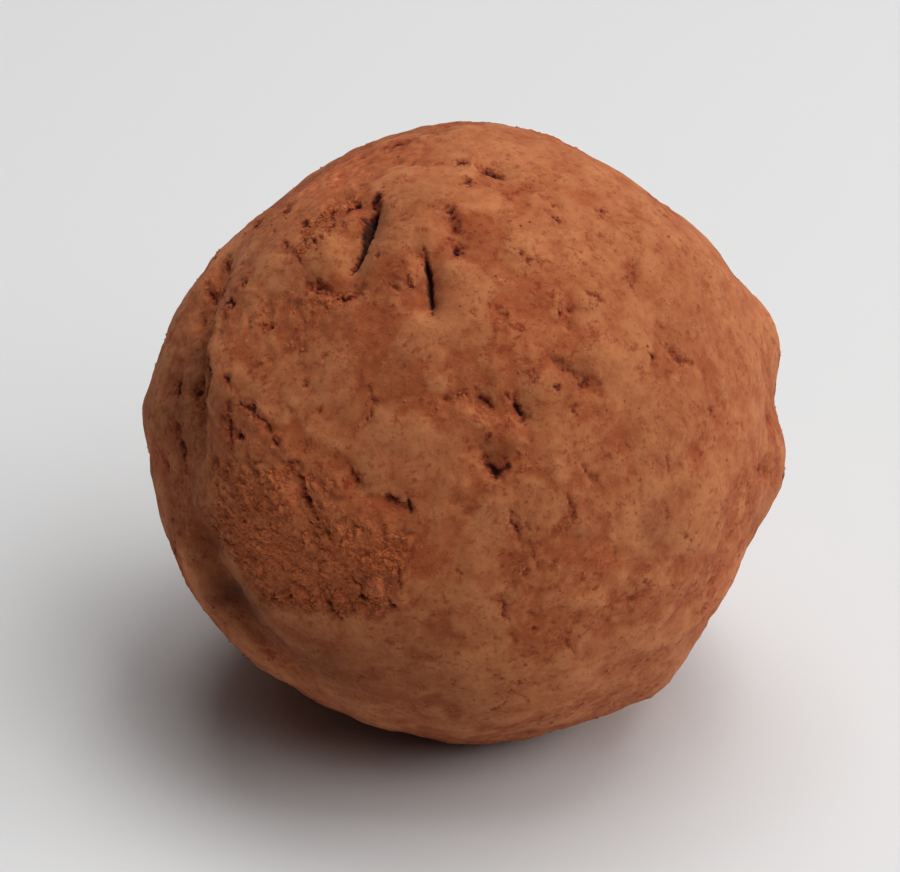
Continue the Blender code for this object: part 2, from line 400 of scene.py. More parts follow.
class SkinSettings(bpy.types.PropertyGroup):
    """Sizes and colours of the cocoa skin."""

    lump_height: bpy.props.FloatProperty(
        name="Lump height",
        description="Height of the soft lumps left by rolling",
        default=0.12 * MM,
        unit="LENGTH",
    )
    plate_height: bpy.props.FloatProperty(
        name="Plate height",
        description="How far the pressed plates stand over the loose cocoa",
        default=0.07 * MM,
        unit="LENGTH",
    )
    crumb_height: bpy.props.FloatProperty(
        name="Crumb height",
        description="Height of the crumbs in the loose cocoa",
        default=0.074 * MM,
        unit="LENGTH",
    )
    plate_colour: bpy.props.FloatVectorProperty(
        name="Plate colour",
        description="Cocoa where it is pressed smooth",
        default=(0.483, 0.172, 0.067),
        subtype="COLOR",
        size=3,
    )
    loose_colour: bpy.props.FloatVectorProperty(
        name="Loose colour",
        description="Cocoa where it lies loose",
        default=(0.345, 0.085, 0.029),
        subtype="COLOR",
        size=3,
    )
    speck_colour: bpy.props.FloatVectorProperty(
        name="Speck colour",
        description="The reddish specks and veins between grains",
        default=(0.228, 0.033, 0.014),
        subtype="COLOR",
        size=3,
    )
    # Painted shadow: the gaps between the standing crumbs of a crust are painted in this colour.
    gap_shadow_colour: bpy.props.FloatVectorProperty(
        name="Gap colour",
        description="Thinly dusted chocolate between the crumbs of a crust",
        default=(0.115, 0.046, 0.033),
        subtype="COLOR",
        size=3,
    )
    # The crumbs' own orange tone, which loose grains take at random, and on a crust the painted highlight on
    # its raised tops.
    crumb_and_highlight_colour: bpy.props.FloatVectorProperty(
        name="Crumb colour",
        description="The tops of standing crumbs",
        default=(0.470, 0.127, 0.042),
        subtype="COLOR",
        size=3,
    )
    # The bare chocolate in the cracks and pits, which also serves as painted shade on their walls.
    hollow_chocolate_and_shade_colour: bpy.props.FloatVectorProperty(
        name="Hollow colour",
        description="Bare chocolate in the cracks and pits",
        default=(0.022, 0.006, 0.005),
        subtype="COLOR",
        size=3,
    )


class GrainSettings(bpy.types.PropertyGroup):
    """Sizes and numbers of what clings to the skin."""

    grain_count: bpy.props.IntProperty(
        name="Grains", description="About how many grains cling to the skin", default=4500
    )
    grain_size: bpy.props.FloatProperty(
        name="Grain size",
        description="Width of the largest grains",
        default=0.18 * MM,
        unit="LENGTH",
    )
    crumb_count: bpy.props.IntProperty(
        name="Crumbs", description="About how many crumbs stand on the crusts", default=2350
    )
    crumb_size: bpy.props.FloatProperty(
        name="Crumb size",
        description="Width of the largest crumbs",
        default=0.28 * MM,
        unit="LENGTH",
    )


class StageSettings(bpy.types.PropertyGroup):
    """The floor, lights and camera."""

    floor_colour: bpy.props.FloatVectorProperty(
        name="Floor colour",
        description="Colour of the floor",
        default=(0.72, 0.72, 0.72),
        subtype="COLOR",
        size=3,
    )
    light: bpy.props.FloatProperty(
        name="Light",
        description="Strength of all the lights together, against the standard setting",
        default=1.35,
        subtype="FACTOR",
        min=0.0,
        soft_max=3.0,
    )
    camera_distance: bpy.props.FloatProperty(
        name="Camera distance",
        description="From the lens to the truffle's middle",
        default=174.8 * MM,
        unit="LENGTH",
    )


# ---- directions and places ----------------------------------------------------------------


def toward(across, up):
    """The direction that lies these degrees across and up from the middle of the show side."""
    spread = math.radians(math.hypot(across, up))
    bearing = math.atan2(up, across)
    sideways = ACROSS * math.cos(bearing) + UPWARD * math.sin(bearing)
    return sideways * math.sin(spread) + OUTWARD * math.cos(spread)


def degrees_from(directions, across, up):
    """The angle in degrees between each direction and one on the show side."""
    cosine = directions @ np.array(toward(across, up))
    return np.degrees(np.arccos(np.clip(cosine, -1, 1)))


def soft_step(low, high, values):
    """0 at low, 1 at high, and a smooth rise between. Low may be the greater."""
    share = np.clip((values - low) / (high - low), 0, 1)
    return share * share * (3 - 2 * share)


def noise_at(places, wavelength, octaves=1, shift=0.0, smoothness=1.0):
    """Noise from about -1 to 1 at each place. A shift gives another pattern of the same kind."""
    points = (places / wavelength + shift).tolist()
    return np.array([noise.fractal(point, smoothness, 2.0, octaves) for point in points])


def wander_at(places, wavelength, reach):
    """A small sideways move for each place, which makes straight edges ragged."""
    noise.seed_set(WANDER_SEED)  # without it, Blender shifts vector noise by the clock
    points = (places / wavelength).tolist()
    return np.array([noise.noise_vector(point) for point in points]) * reach


class NearPath:
    """The places near a path over the mean ball, and how each lies to it.

    index says which places they are, distance how far off the path, along how far along it, 0 to 1,
    and side is 1 to the left of the path and -1 to its right, seen from outside.
    """

    def __init__(self, places, path, reach):
        corners = [np.array(way) * MEAN_RADIUS for way in path]
        middle = sum(corners) / len(corners)
        limit = reach + max(np.linalg.norm(corner - middle) for corner in corners)
        self.index = np.flatnonzero(((places - middle) ** 2).sum(axis=1) < limit**2)
        near = places[self.index]
        self.distance = np.full(len(near), np.inf)
        self.along = np.zeros(len(near))
        self.side = np.ones(len(near))
        for step, (start, end) in enumerate(zip(corners, corners[1:])):
            run = end - start
            share = np.clip((near - start) @ run / (run @ run), 0, 1)
            distance = np.linalg.norm(near - start - share[:, None] * run, axis=1)
            closer = distance < self.distance
            self.distance[closer] = distance[closer]
            self.along[closer] = (step + share[closer]) / (len(corners) - 1)
            leftward = np.cross(start, run)
            self.side[closer] = np.sign((near[closer] - start) @ leftward)


def scattered_paths(count, seed, nearest):
    """Short wandering paths, all at least this many degrees from the middle of the show side."""
    chance = random.Random(seed)
    for _ in range(count):
        cosine = chance.uniform(-1, math.cos(math.radians(nearest)))
        bearing = chance.uniform(0, 2 * math.pi)
        sideways = ACROSS * math.cos(bearing) + UPWARD * math.sin(bearing)
        way = OUTWARD * cosine + sideways * math.sqrt(1 - cosine**2)
        heading = Vector([chance.gauss(0, 1) for _ in range(3)]).cross(way).normalized()
        path = [way]
        for _ in range(chance.randint(1, 3)):
            turn = Matrix.Rotation(chance.gauss(0, 0.6), 3, way)
            stride = math.radians(chance.uniform(1.5, 4.5))
            heading = turn @ heading
            way, heading = (
                way * math.cos(stride) + heading * math.sin(stride),
                heading * math.cos(stride) - way * math.sin(stride),
            )
            path.append(way)
        yield path


# ---- relief of the skin -------------------------------------------------------------------


DEEP = 0.42  # a crack deeper than this, in millimetres, keeps clean sides
BEHIND = (75, 105)  # degrees from the middle of the show side over which the back begins

# The skin's edges, in millimetres: their length on a plate and beside a crack, how much shorter they
# are in loose cocoa and on a crust, and how much longer in proportion at the back.
PLATE_EDGE = 0.28
CRACK_EDGE = 0.072
SHORTER_WHERE_LOOSE = 0.117
SHORTER_ON_CRUST = 0.206
LONGER_BEHIND = 0.9

# Cracks by chance, as half widths and depths in millimetres: hair cracks all over, and wider ones
# at the back, of which each twelfth is a deep one.
WANDER_SEED = 7
HAIR_CRACKS = 150
HAIR_WIDTHS = (0.06, 0.09)
HAIR_DEPTHS = (0.05, 0.08, 0.11, 0.14)
BACK_CRACKS = 60
BACK_WIDTHS = (0.10, 0.17)
BACK_DEPTHS = (0.44,) + (0.34,) * 11
BACK_CRACKS_FROM = 80  # degrees from the middle of the show side
PITS = 1300


class Ground:
    """How the cocoa lies in each of these directions from the heart.

    ragged is each direction's place on the mean ball, moved a little so that edges drawn with it
    are uneven, and frayed the same with only the finest moves. caked is 1 on a pressed plate and 0
    in loose cocoa. crusted is 1 where crumbs stand.
    """

    def __init__(self, directions):
        self.directions = directions
        self.ball = directions * MEAN_RADIUS
        fine_moves = wander_at(self.ball, 0.5 * MM, 0.17 * MM) + wander_at(self.ball, 0.2 * MM, 0.09 * MM)
        self.frayed = self.ball + fine_moves
        self.ragged = self.frayed + wander_at(self.ball, 1.5 * MM, 0.28 * MM)
        self.ways = self.ragged / np.linalg.norm(self.ragged, axis=1)[:, None]
        self.behind = soft_step(*BEHIND, degrees_from(directions, 0, 0))
        self.caked = soft_step(-0.10, 0.12, self.likely_caked())
        self.crusted = self.find_crust()
        # How much paler or darker the skin is painted here: partly dusting that differs, partly painted
        # light and shade.
        self.dusting = self.mound(DUSTING_AND_PAINTED_LIGHT)

    def mound(self, patches):
        """A smooth hill over each patch, added up. A patch's third value is its height, or 1."""
        hills = 0
        for middle, reach, *height in patches:
            hill = np.exp(-((degrees_from(self.ways, *middle) / reach) ** 2))
            hills = hills + hill * (height[0] if height else 1)
        return hills

    def likely_caked(self):
        by_chance = 0.60 * noise_at(self.ragged, 3.4 * MM, 3)
        return by_chance + 0.50 * self.mound(PLATES) - 0.55 * self.mound(GRAINY_PATCHES)

    def find_crust(self):
        by_chance = soft_step(0.15, 0.45, noise_at(self.ragged, 5.0 * MM, 2, shift=31.7))
        uneven = 0.35 * noise_at(self.ragged, 1.6 * MM, 3)
        by_name = soft_step(0.25, 0.85, self.mound(CRUSTED_PATCHES) + uneven)
        return np.maximum(by_name, 0.7 * by_chance * self.behind)

    def cracks(self):
        """Every crack, as what lies near its path, its half width there and its depth."""
        named = [([toward(*bend) for bend in bends], widths, depth) for bends, widths, depth in CRACKS]
        small = [
            (path, HAIR_WIDTHS, HAIR_DEPTHS[number % len(HAIR_DEPTHS)])
            for number, path in enumerate(scattered_paths(HAIR_CRACKS, seed=4, nearest=0))
        ]
        back = [
            (path, BACK_WIDTHS, BACK_DEPTHS[number % len(BACK_DEPTHS)])
            for number, path in enumerate(scattered_paths(BACK_CRACKS, seed=9, nearest=BACK_CRACKS_FROM))
        ]
        steady = self.ball + 0.4 * (self.frayed - self.ball)
        for path, (first, last), depth in named + small + back:
            near = NearPath(steady if depth > DEEP else self.frayed, path, 5 * max(first, last) * MM)
            half_width = (first + (last - first) * near.along) * MM
            taper = np.clip(4 * near.along * (1 - near.along), 0.15, 1) ** 0.4
            yield near, half_width * taper, depth * MM * taper

    def wanted_edge(self):
        """How long the skin's edges may be here: short where there is fine relief to carry."""
        edge = PLATE_EDGE - SHORTER_WHERE_LOOSE * (1 - self.caked)
        edge = np.minimum(edge, PLATE_EDGE - SHORTER_ON_CRUST * self.crusted)
        for near, half_width, _ in self.cracks():
            off = near.distance - 1.6 * half_width
            beside = CRACK_EDGE + np.maximum(off, 0) / MM
            edge[near.index] = np.minimum(edge[near.index], beside)
        return edge * MM * (1 + LONGER_BEHIND * self.behind)


class Relief:
    """The skin's height over the smooth solid, the same before its cracks, and its hollowness, 0 to 1, which
    paints the hollows dark, partly as bare chocolate and partly as painted shade.
    """

    def __init__(self, ground, settings):
        self.ground = ground
        self.hollow = np.zeros(len(ground.ball))
        self.height = self.lumps(settings.lump_height)
        self.height += self.plates(settings.plate_height)
        self.height += self.crumbs(settings.crumb_height)
        self.shape_grooves()
        self.raise_ledges()
        self.raise_clods()
        self.uncracked = self.height.copy()
        self.sink_cracks()
        self.sink_pits()

    def lumps(self, tall):
        ball = self.ground.ball
        return tall * (noise_at(ball, 2.6 * MM, 2, shift=7.3) + 0.5 * noise_at(ball, 1.1 * MM, 2, shift=3.1))

    def plates(self, tall):
        tilted = 1 + 0.5 * noise_at(self.ground.ball, 1.8 * MM, 1, shift=11.9)
        return tall * self.ground.caked * tilted

    def crumbs(self, tall):
        """Crumbs that stand on loose cocoa, drawn out a little along the way that it was brushed."""
        ground = self.ground
        brushed = np.array(toward(35, -50))
        drawn = ground.ragged - 0.5 * (ground.ragged @ brushed)[:, None] * brushed
        heaps = soft_step(0.05, 0.50, noise_at(drawn, 1.7 * MM, 2, shift=8.8))
        islands = soft_step(0.00, 0.34, noise_at(drawn, 0.62 * MM, 3, shift=2.2))
        bits = soft_step(0.02, 0.30, noise_at(drawn, 0.27 * MM, 2, shift=4.4))
        fine = noise_at(ground.ball, 0.28 * MM, 2)
        loose = 1 - ground.caked
        crust = 0.7 * islands + 1.1 * bits * (0.5 + 0.5 * islands) + 0.5 * heaps + 0.2 * fine - 1.1
        open_ground = 0.45 * islands + 0.35 * bits + 0.25 * fine
        plate = 0.10 * fine + 0.08 * bits
        mixed = plate + loose * (open_ground - plate)
        return tall * (mixed + ground.crusted * (crust - mixed))

    def shape_grooves(self):
        for bends, half_width, depth in GROOVES:
            path = [toward(*bend) for bend in bends]
            near = NearPath(self.ground.ragged, path, 3 * half_width * MM)
            self.height[near.index] -= depth * MM * np.exp(-((near.distance / (half_width * MM)) ** 2))

    def raise_ledges(self):
        unevenness = 0.22 * MM * noise_at(self.ground.ball, 0.9 * MM, 3, shift=6.1)
        for bends, tall, reach in LEDGES:
            path = [toward(*bend) for bend in bends]
            near = NearPath(self.ground.ragged, path, 3 * reach * MM)
            taper = np.clip(4 * near.along * (1 - near.along), 0, 1) ** 0.5
            off = near.distance * near.side + unevenness[near.index]
            rise = soft_step(-0.10 * MM, 0.10 * MM, off)
            high = np.exp(-np.maximum(off, 0) / (reach * MM)) * rise
            low = np.exp(-((np.minimum(off, 0) / (0.4 * reach * MM)) ** 2)) - rise
            self.height[near.index] += tall * MM * taper * (0.6 * high - 0.4 * np.maximum(low, 0))

    def raise_clods(self):
        for middle, radius in CLODS:
            offset = np.linalg.norm(self.ground.ragged - np.array(toward(*middle)) * MEAN_RADIUS, axis=1)
            self.height += 0.5 * radius * MM * soft_step(1.15, 0.45, offset / (radius * MM))

    def sink_cracks(self):
        """Sinks each crack as a gap with frayed, crumbling sides. Only the deep ones are clean and steep."""
        frayed = noise_at(self.ground.ball, 0.32 * MM, 3, shift=5.5, smoothness=0.6)
        for near, half_width, depth in self.ground.cracks():
            away = near.distance / half_width
            clean = soft_step(0.8 * DEEP * MM, 1.1 * DEEP * MM, depth)
            halo = np.exp(-((0.38 * away) ** 2))
            fray = (0.50 - 0.42 * clean) * frayed[near.index] * halo
            opening = np.clip(np.exp(-((0.80 * away) ** 2)) + fray, 0, 1.3)
            lip = np.exp(-(((away - 2.1) / 0.8) ** 2))
            sunk = 0.30 * opening**1.5 * (1 - clean) + 0.9 * clean * soft_step(0.15, 0.95, opening)
            self.height[near.index] += depth * (0.08 * lip - sunk)
            # How dark the crack is painted, partly as bare chocolate and partly as painted shade.
            strength = np.clip(0.10 + depth / (0.40 * MM), 0.30, 1)
            stained = (0.60 - 0.45 * clean) * halo
            dark = strength * np.maximum(stained, np.clip((opening - 0.08) / (0.95 - 0.70 * clean), 0, 1))
            self.hollow[near.index] = np.maximum(self.hollow[near.index], dark)

    def sink_pits(self):
        """Scatters small pits, most of them in the loose cocoa."""
        chance = np.random.default_rng(20)
        ground = self.ground
        for _ in range(PITS):
            way = chance.normal(size=3)
            middle = way / np.linalg.norm(way) * MEAN_RADIUS
            reach = 0.09 * MM + 0.20 * MM * chance.random() ** 2
            deep, wanted = chance.uniform(0.35, 0.9), chance.random()
            offset = ground.ragged - middle
            near = np.flatnonzero(np.abs(offset).max(axis=1) < 2 * reach)
            if not len(near) or wanted > 0.75 - 0.65 * ground.caked[near].mean():
                continue
            bowl = np.exp(-(offset[near] ** 2).sum(axis=1) / reach**2)
            self.height[near] -= deep * reach * bowl
            self.hollow[near] = np.maximum(self.hollow[near], 0.75 * deep * bowl)


# ---- skin -------------------------------------------------------------------------------------


def solid_to_cast_at():
    """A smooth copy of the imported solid, as a tree that rays are cast at."""
    mesh = bmesh.new()
    mesh.from_mesh(frame["nodes"][NODE].data)
    bmesh.ops.remove_doubles(mesh, verts=mesh.verts[:], dist=0.002 * MM)
    copy = bpy.data.objects.new("smooth_copy", bpy.data.meshes.new("smooth_copy"))
    mesh.to_mesh(copy.data)
    mesh.free()
    bpy.context.collection.objects.link(copy)
    smoothing = copy.modifiers.new("smooth", "SUBSURF")
    smoothing.levels = smoothing.render_levels = 2
    tree = BVHTree.FromObject(copy, bpy.context.evaluated_depsgraph_get())
    bpy.data.objects.remove(copy)
    return tree


def coordinates(mesh):
    places = np.empty(len(mesh.vertices) * 3)
    mesh.vertices.foreach_get("co", places)
    return places.reshape(-1, 3)


def edge_ends(mesh):
    ends = np.empty(len(mesh.edges) * 2, int)
    mesh.edges.foreach_get("vertices", ends)
    return ends.reshape(-1, 2)


SHOW_SIDE_GATHER = 0.25  # how much closer together the skin's points lie on the show side


def gather_to_show_side(ball):
    """Slides the unit ball's vertices towards the show side, where finer relief shows."""
    for vertex in ball.verts:
        angle = vertex.co.angle(OUTWARD)
        sideways = vertex.co - vertex.co.project(OUTWARD)
        if sideways.length > 0:
            gathered = angle - SHOW_SIDE_GATHER * math.sin(angle)
            vertex.co = OUTWARD * math.cos(gathered) + sideways.normalized() * math.sin(gathered)


def halve_long_edges(ball):
    """Halves each edge of the unit ball that is longer than the relief on it wants."""
    mesh = bpy.data.meshes.new("measured")
    ball.to_mesh(mesh)
    places, ends = coordinates(mesh), edge_ends(mesh)
    bpy.data.meshes.remove(mesh)
    wanted = Ground(places).wanted_edge()
    length = np.linalg.norm(places[ends[:, 0]] - places[ends[:, 1]], axis=1) * MEAN_RADIUS
    long_edges = np.flatnonzero(length > 1.42 * wanted[ends].mean(axis=1))
    ball.edges.ensure_lookup_table()
    bmesh.ops.subdivide_edges(ball, edges=[ball.edges[index] for index in long_edges], cuts=1)
    bmesh.ops.triangulate(ball, faces=[face for face in ball.faces if len(face.verts) > 3])
    for vertex in ball.verts:
        vertex.co.normalize()


def evened(values, ends, rounds):
    """Each vertex's value averaged with its neighbours' this many times."""
    count = np.bincount(ends.ravel(), minlength=len(values))
    for _ in range(rounds):
        total = np.bincount(ends[:, 0], values[ends[:, 1]], len(values))
        total += np.bincount(ends[:, 1], values[ends[:, 0]], len(values))
        values = 0.5 * values + 0.5 * total / count
    return values


def write_attribute(mesh, name, values):
    attribute = mesh.attributes.new(name, "FLOAT", "POINT")
    attribute.data.foreach_set("value", np.clip(values, -1, 1))


BASE_FADE = 0.5 * MM  # over this height the relief fades in, up from the flat base
HALVING_ROUNDS = 4
SOLID_EVENING = 16  # rounds that take the solid's small faces off the skin
CREST_EVENING = 20  # rounds that tell a crest from the ground round it
CREST_HEIGHT = 0.05 * MM


def make_skin(settings):
    """Models the cocoa-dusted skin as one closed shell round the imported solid."""
    ball = bmesh.new()
    bmesh.ops.create_icosphere(ball, subdivisions=7, radius=1)
    gather_to_show_side(ball)
    for _ in range(HALVING_ROUNDS):
        halve_long_edges(ball)
    mesh = bpy.data.meshes.new("cocoa_skin")
    ball.to_mesh(mesh)
    ball.free()

    directions, ends = coordinates(mesh), edge_ends(mesh)
    solid = solid_to_cast_at()
    hits = np.array([solid.ray_cast(HEART, Vector(way))[0] for way in directions])
    distance = np.linalg.norm(hits - np.array(HEART), axis=1)
    softened = evened(distance, ends, SOLID_EVENING)
    fade = soft_step(0, BASE_FADE, hits[:, 2])
    ground = Ground(directions)
    relief = Relief(ground, settings)
    distance += (softened + relief.height - distance) * fade
    places = np.array(HEART) + directions * distance[:, None]
    places[:, 2] = np.maximum(places[:, 2], 0)
    mesh.vertices.foreach_set("co", places.ravel())

    # The crest tells the relief's tops from its recesses. The material uses it to paint the tops paler and
    # the recesses darker, partly as painted shade, and on a crust as painted highlights and painted shadow.
    crest = (relief.uncracked - evened(relief.uncracked, ends, CREST_EVENING)) / CREST_HEIGHT
    crest *= 1 - 0.55 * ground.behind  # the mesh is coarser there, and would show it
    write_attribute(mesh, "caked", ground.caked)
    write_attribute(mesh, "hollow", relief.hollow)
    write_attribute(mesh, "crest", crest)
    write_attribute(mesh, "crusted", ground.crusted)
    write_attribute(mesh, "dusting", ground.dusting)
    write_attribute(mesh, "grains", grain_density(ground, relief) * fade)
    write_attribute(mesh, "crumbs", crumb_density(ground, relief) * fade)
    mesh.shade_smooth()
    mesh.materials.append(skin_material(settings))

    skin = bpy.data.objects.new("cocoa_skin", mesh)
    bpy.context.collection.objects.link(skin)
    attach(skin, BODY)
    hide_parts(NODE)
    return skin


def grain_density(ground, relief):
    """How thickly loose grains lie: thick on the crusts, thin elsewhere, and none in a hollow."""
    by_cracks = soft_step(0.02, 0.15, relief.hollow) * soft_step(0.7, 0.3, relief.hollow)
    loose = 0.006 + 0.018 * (1 - ground.caked)
    on_crust = soft_step(0.5, 1.0, ground.crusted)
    return np.maximum(np.maximum(on_crust, 0.12 * by_cracks), loose) * soft_step(0.8, 0.4, relief.hollow)


def crumb_density(ground, relief):
    """How thickly crumbs lie: in clumps on the crusts, and none in a hollow."""
    clumps = soft_step(-0.10, 0.35, noise_at(ground.ragged, 0.8 * MM, 3, shift=14.2))
    return soft_step(0.7, 1.0, ground.crusted) * (0.15 + 0.85 * clumps) * soft_step(0.8, 0.4, relief.hollow)


# ---- materials ----------------------------------------------------------------------------------


class Nodes:
    """Short names for the nodes that the materials are built from."""

    def __init__(self, material):
        material.use_nodes = True
        self.tree = material.node_tree
        self.shader = self.tree.nodes["Principled BSDF"]
        self.place = self.add("ShaderNodeTexCoord").outputs["Object"]

    def add(self, kind, **inputs):
        node = self.tree.nodes.new(kind)
        for name, value in inputs.items():
            self.put(node.inputs[name.replace("_", " ")], value)
        return node

    def put(self, socket, value):
        """Links an output to the socket, or sets its value."""
        if isinstance(value, bpy.types.NodeSocket):
            self.tree.links.new(value, socket)
        else:
            socket.default_value = value

    def attribute(self, name):
        node = self.add("ShaderNodeAttribute")
        node.attribute_name = name
        return node.outputs["Fac"]

    def noise(self, wavelength, detail=2.0, roughness=0.5, distortion=0.0):
        """Noise of this wavelength, 0 to 1."""
        node = self.add(
            "ShaderNodeTexNoise",
            Vector=self.place,
            Scale=1 / wavelength,
            Detail=detail,
            Roughness=roughness,
            Distortion=distortion,
        )
        return node.outputs["Fac"]

    def fit(self, value, low, high, new_low=0.0, new_high=1.0):
        """The value stretched so that low becomes new_low and high new_high, and held between them."""
        node = self.add("ShaderNodeMapRange")
        self.put(node.inputs["Value"], value)
        for name, end in zip(("From Min", "From Max", "To Min", "To Max"), (low, high, new_low, new_high)):
            node.inputs[name].default_value = end
        return node.outputs["Result"]

    def math(self, operation, *values):
        node = self.add("ShaderNodeMath")
        node.operation = operation
        for socket, value in zip(node.inputs, values):
            self.put(socket, value)
        return node.outputs[0]

    def total(self, *values):
        result = values[0]
        for value in values[1:]:
            result = self.math("ADD", result, value)
        return result

    def product(self, *values):
        result = values[0]
        for value in values[1:]:
            result = self.math("MULTIPLY", result, value)
        return result

    def mix(self, share, first, second):
        """The first colour where share is 0, the second where it is 1."""
        node = self.tree.nodes.new("ShaderNodeMix")
        node.data_type = "RGBA"
        self.put(node.inputs[0], share)
        for socket, colour in ((node.inputs[6], first), (node.inputs[7], second)):
            self.put(socket, colour if isinstance(colour, bpy.types.NodeSocket) else (*colour, 1))
        return node.outputs[2]

    def shade(self, colour, value):
        """The colour made darker or lighter by a value round 1."""
        node = self.tree.nodes.new("ShaderNodeVectorMath")
        node.operation = "SCALE"
        self.put(node.inputs[0], colour)
        self.put(node.inputs["Scale"], value)
        return node.outputs[0]

    def bump(self, height, distance, normal=None):
        """Bumps as tall as the distance where height goes from 0 to 1."""
        node = self.add("ShaderNodeBump", Height=height, Strength=1.0, Distance=distance)
        if normal is not None:
            self.put(node.inputs["Normal"], normal)
        return node.outputs["Normal"]


def set_powder_finish(nodes):
    """Dry, matt and slightly velvety, as cocoa is."""
    nodes.shader.inputs["Roughness"].default_value = 0.95
    nodes.shader.inputs["Specular IOR Level"].default_value = 0.05
    nodes.shader.inputs["Sheen Weight"].default_value = 0.09
    nodes.shader.inputs["Sheen Roughness"].default_value = 0.6
    nodes.shader.inputs["Sheen Tint"].default_value = (1.0, 0.68, 0.54, 1)


def skin_material(settings):
    """Cocoa: pale on the plates, redder where loose, with veins and specks, and dark in the hollows."""
    material = bpy.data.materials.new("cocoa_powder")
    nodes = Nodes(material)
    caked = nodes.attribute("caked")
    crest = nodes.attribute("crest")
    hollow = nodes.attribute("hollow")
    crusted = nodes.attribute("crusted")
    dusting = nodes.attribute("dusting")

    # How pale the cocoa is, from 0 where it is loose and red to 1 where it is pressed. It carries painted
    # light and shade too: the dusting table's painted shade turns it redder, and the relief's crests are
    # painted paler and its recesses darker, partly thicker dust on the tops and partly painted shade.
    pale = nodes.total(
        nodes.fit(caked, 0, 1, 0.26, 0.68),
        nodes.fit(dusting, -0.50, -0.12, -0.55, 0.0),
        nodes.fit(nodes.noise(6.5 * MM, 3.0), 0.35, 0.65, -0.15, 0.15),
        nodes.fit(nodes.noise(1.3 * MM, 6.0, 0.68), 0.30, 0.70, -0.38, 0.38),
        nodes.fit(nodes.noise(0.45 * MM, 4.0, 0.68), 0.30, 0.70, -0.30, 0.30),
        nodes.fit(crest, -1, 1, -0.34, 0.30),
    )
    colour = nodes.mix(nodes.fit(pale, 0, 1), settings.loose_colour, settings.plate_colour)

    # A crust gets a painted highlight in orange on its raised tops, and painted shadow in its gaps.
    tops = nodes.product(nodes.fit(crest, 0.05, 0.75, 0, 0.54), crusted)
    gaps = nodes.product(nodes.fit(crest, -0.15, -0.95, 0, 0.47), crusted)
    colour = nodes.mix(tops, colour, settings.crumb_and_highlight_colour)
    colour = nodes.mix(gaps, colour, settings.gap_shadow_colour)

    # Reddish specks and veins, in drifts.
    drift = nodes.fit(nodes.noise(1.7 * MM, 4.0, 0.6), 0.38, 0.58, 0.35, 1.0)
    ridge = nodes.math("ABSOLUTE", nodes.math("SUBTRACT", nodes.noise(0.7 * MM, 4.0, 0.60, 0.4), 0.5))
    broken = nodes.fit(nodes.noise(0.5 * MM, 3.0, 0.6), 0.45, 0.58)
    veins = nodes.product(nodes.fit(ridge, 0.004, 0.034, 0.85, 0.0), broken)
    specks = nodes.fit(nodes.noise(0.36 * MM, 3.0, 0.60), 0.545, 0.640)
    stains = nodes.fit(nodes.noise(0.95 * MM, 6.0, 0.74), 0.530, 0.670, 0, 0.70)
    marks = nodes.math("MAXIMUM", nodes.math("MAXIMUM", veins, stains), specks)
    marks = nodes.product(marks, drift, nodes.fit(caked, 0, 1, 1.0, 0.75))
    colour = nodes.mix(nodes.product(marks, 0.82), colour, settings.speck_colour)

    # The hollows are painted dark, partly as bare chocolate and partly as painted shade, through a ragged
    # red-brown fringe.
    ragged = nodes.fit(nodes.noise(0.26 * MM, 6.0, 0.72), 0.30, 0.70, -0.55, 0.55)
    unevenness = nodes.product(nodes.fit(hollow, 0.0, 0.30), nodes.fit(hollow, 0.75, 1.0, 1.0, 0.25))
    uneven_hollow = nodes.total(hollow, nodes.product(ragged, unevenness))
    fringe = nodes.fit(uneven_hollow, 0.15, 0.70)
    bare_and_shaded = nodes.fit(uneven_hollow, 0.60, 1.05)
    colour = nodes.mix(nodes.product(fringe, 0.85), colour, settings.speck_colour)
    colour = nodes.mix(bare_and_shaded, colour, settings.hollow_chocolate_and_shade_colour)

    powder = nodes.noise(0.15 * MM, 4.0, 0.7)
    # The dusting table makes the colour darker or paler here: partly dusting that differs, partly painted
    # shade and painted highlights.
    strength = nodes.product(nodes.fit(powder, 0.25, 0.75, 0.95, 1.05), nodes.total(dusting, 1.0))
    nodes.put(nodes.shader.inputs["Base Color"], nodes.shade(colour, strength))

    # Fine relief: rough where the cocoa is loose, and sunk where the marks and fringes are.
    rough = nodes.noise(0.36 * MM, 6.0, 0.72)
    height = nodes.total(
        nodes.product(rough, nodes.fit(caked, 0, 1, 0.95, 0.50)),
        nodes.product(powder, 0.25),
        nodes.product(marks, -0.15),
        nodes.product(fringe, -0.20),
    )
    nodes.put(nodes.shader.inputs["Normal"], nodes.bump(height, 0.055 * MM))
    set_powder_finish(nodes)
    return material


def grain_material(settings):
    """Loose cocoa, each grain a little lighter or darker than the next."""
    material = bpy.data.materials.new("cocoa_grain")
    nodes = Nodes(material)
    tone = nodes.fit(nodes.attribute("tone"), 0, 1, 0.0, 0.7)
    colour = nodes.mix(tone, settings.loose_colour, settings.crumb_and_highlight_colour)
    powder = nodes.noise(0.16 * MM, 3.0, 0.65)
    # Grains take the same painted shade and painted highlights from the dusting table as the skin under
    # them.
    dusting = nodes.total(nodes.attribute("dusting"), 1.0)
    strength = nodes.product(nodes.fit(powder, 0.25, 0.75, 0.88, 1.12), dusting)
    nodes.put(nodes.shader.inputs["Base Color"], nodes.shade(colour, strength))
    nodes.put(nodes.shader.inputs["Normal"], nodes.bump(nodes.noise(0.14 * MM, 3.0, 0.6), 0.05 * MM))
    set_powder_finish(nodes)
    return material


# ---- grains -------------------------------------------------------------------------------------

GRAIN_SHAPES = 8
CRUMB_SHAPES = 12


